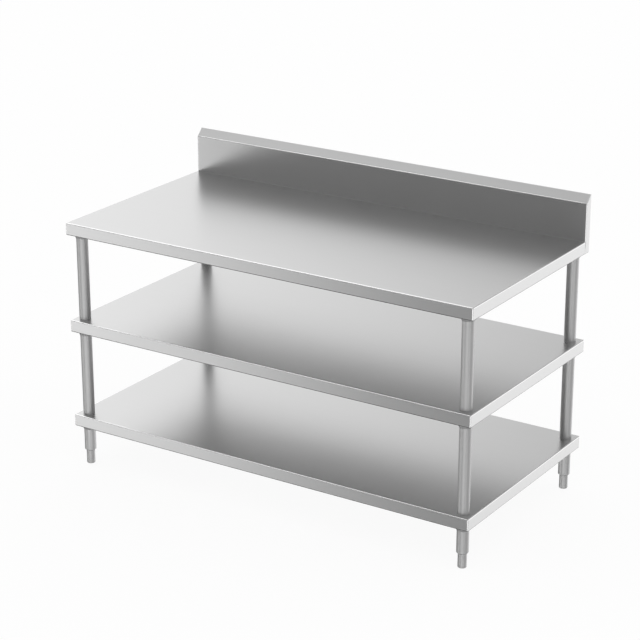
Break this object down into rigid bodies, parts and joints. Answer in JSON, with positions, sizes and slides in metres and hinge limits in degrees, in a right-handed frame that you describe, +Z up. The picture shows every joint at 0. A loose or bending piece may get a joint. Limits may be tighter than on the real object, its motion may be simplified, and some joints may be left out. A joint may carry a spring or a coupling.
{
  "type": "stainless work table",
  "caption": "Stainless steel work table with a sloped-top upstand at the back, two fixed undershelves, round tube legs and adjustable screw feet.",
  "frame": {"origin": "on the floor, under the middle of the worktop", "axes": "+X to the right along the front edge, +Y from the front to the upstand at the back, +Z up"},
  "size_m": [1.5, 0.755, 1],
  "materials": {
    "worktop_steel": "satin stainless sheet, fine even grain",
    "shelf_steel": "satin stainless sheet, fine even grain",
    "stiffener_steel": "mill-finish stainless sheet",
    "socket_steel": "satin cast stainless",
    "screw_steel": "plain turned stainless",
    "leg_steel": "satin polished stainless tube",
    "foot_steel": "satin turned stainless",
    "core_nylon": "moulded nylon",
    "pad_nylon": "moulded nylon glide"
  },
  "bodies": {
    "root": {"foot_insert_front_left": "foot_steel", "foot_insert_front_right": "foot_steel", "foot_insert_rear_left": "foot_steel", "foot_insert_rear_right": "foot_steel", "foot_nuts": "screw_steel", "gusset_front_left": "stiffener_steel", "gusset_front_right": "stiffener_steel", "gusset_rear_left": "stiffener_steel", "gusset_rear_right": "stiffener_steel", "leg_front_left": "leg_steel", "leg_front_right": "leg_steel", "leg_rear_left": "leg_steel", "leg_rear_right": "leg_steel", "lower_shelf": "shelf_steel", "lower_shelf_channel": "stiffener_steel", "lower_shelf_collar_front_left": "socket_steel", "lower_shelf_collar_front_right": "socket_steel", "lower_shelf_collar_rear_left": "socket_steel", "lower_shelf_collar_rear_right": "socket_steel", "lower_shelf_grub_screws": "screw_steel", "middle_shelf": "shelf_steel", "middle_shelf_channel": "stiffener_steel", "middle_shelf_collar_front_left": "socket_steel", "middle_shelf_collar_front_right": "socket_steel", "middle_shelf_collar_rear_left": "socket_steel", "middle_shelf_collar_rear_right": "socket_steel", "middle_shelf_grub_screws": "screw_steel", "rear_rail": "worktop_steel", "upstand_cap_left": "worktop_steel", "upstand_cap_right": "worktop_steel", "worktop": "worktop_steel", "worktop_channel_front": "stiffener_steel", "worktop_channel_rear": "stiffener_steel", "worktop_cross_channel_left": "stiffener_steel", "worktop_cross_channel_right": "stiffener_steel", "worktop_grub_screws": "screw_steel", "worktop_socket_front_left": "socket_steel", "worktop_socket_front_right": "socket_steel", "worktop_socket_rear_left": "socket_steel", "worktop_socket_rear_right": "socket_steel"},
    "glide_front_left": {"foot_pad_front_left": "pad_nylon"},
    "glide_front_right": {"foot_pad_front_right": "pad_nylon"},
    "glide_rear_left": {"foot_pad_rear_left": "pad_nylon"},
    "glide_rear_right": {"foot_pad_rear_right": "pad_nylon"},
    "foot_front_left": {"foot_shell_front_left": "foot_steel", "foot_core_front_left": "core_nylon", "foot_stud_front_left": "screw_steel"},
    "foot_front_right": {"foot_shell_front_right": "foot_steel", "foot_core_front_right": "core_nylon", "foot_stud_front_right": "screw_steel"},
    "foot_rear_left": {"foot_shell_rear_left": "foot_steel", "foot_core_rear_left": "core_nylon", "foot_stud_rear_left": "screw_steel"},
    "foot_rear_right": {"foot_shell_rear_right": "foot_steel", "foot_core_rear_right": "core_nylon", "foot_stud_rear_right": "screw_steel"}
  },
  "joints": [
    {"name": "foot_height_front_left", "type": "slide", "parent": "root", "child": "glide_front_left", "axis": [0, 0, 1], "range_m": [-0.014, 0.01925]},
    {"name": "foot_turn_front_left", "type": "hinge", "parent": "glide_front_left", "child": "foot_front_left", "pos_m": [-0.715, -0.339, 0], "axis": [0, 0, 1], "range_deg": [-2880, 3960]},
    {"name": "foot_height_front_right", "type": "slide", "parent": "root", "child": "glide_front_right", "axis": [0, 0, 1], "range_m": [-0.014, 0.01925]},
    {"name": "foot_turn_front_right", "type": "hinge", "parent": "glide_front_right", "child": "foot_front_right", "pos_m": [0.715, -0.339, 0], "axis": [0, 0, 1], "range_deg": [-2880, 3960]},
    {"name": "foot_height_rear_left", "type": "slide", "parent": "root", "child": "glide_rear_left", "axis": [0, 0, 1], "range_m": [-0.014, 0.01925]},
    {"name": "foot_turn_rear_left", "type": "hinge", "parent": "glide_rear_left", "child": "foot_rear_left", "pos_m": [-0.715, 0.341, 0], "axis": [0, 0, 1], "range_deg": [-2880, 3960]},
    {"name": "foot_height_rear_right", "type": "slide", "parent": "root", "child": "glide_rear_right", "axis": [0, 0, 1], "range_m": [-0.014, 0.01925]},
    {"name": "foot_turn_rear_right", "type": "hinge", "parent": "glide_rear_right", "child": "foot_rear_right", "pos_m": [0.715, 0.341, 0], "axis": [0, 0, 1], "range_deg": [-2880, 3960]}
  ],
  "couplings": [
    {"joint": "foot_height_front_left", "follows": "foot_turn_front_left", "m_per_rad": 0.00027852},
    {"joint": "foot_height_front_right", "follows": "foot_turn_front_right", "m_per_rad": 0.00027852},
    {"joint": "foot_height_rear_left", "follows": "foot_turn_rear_left", "m_per_rad": 0.00027852},
    {"joint": "foot_height_rear_right", "follows": "foot_turn_rear_right", "m_per_rad": 0.00027852}
  ]
}
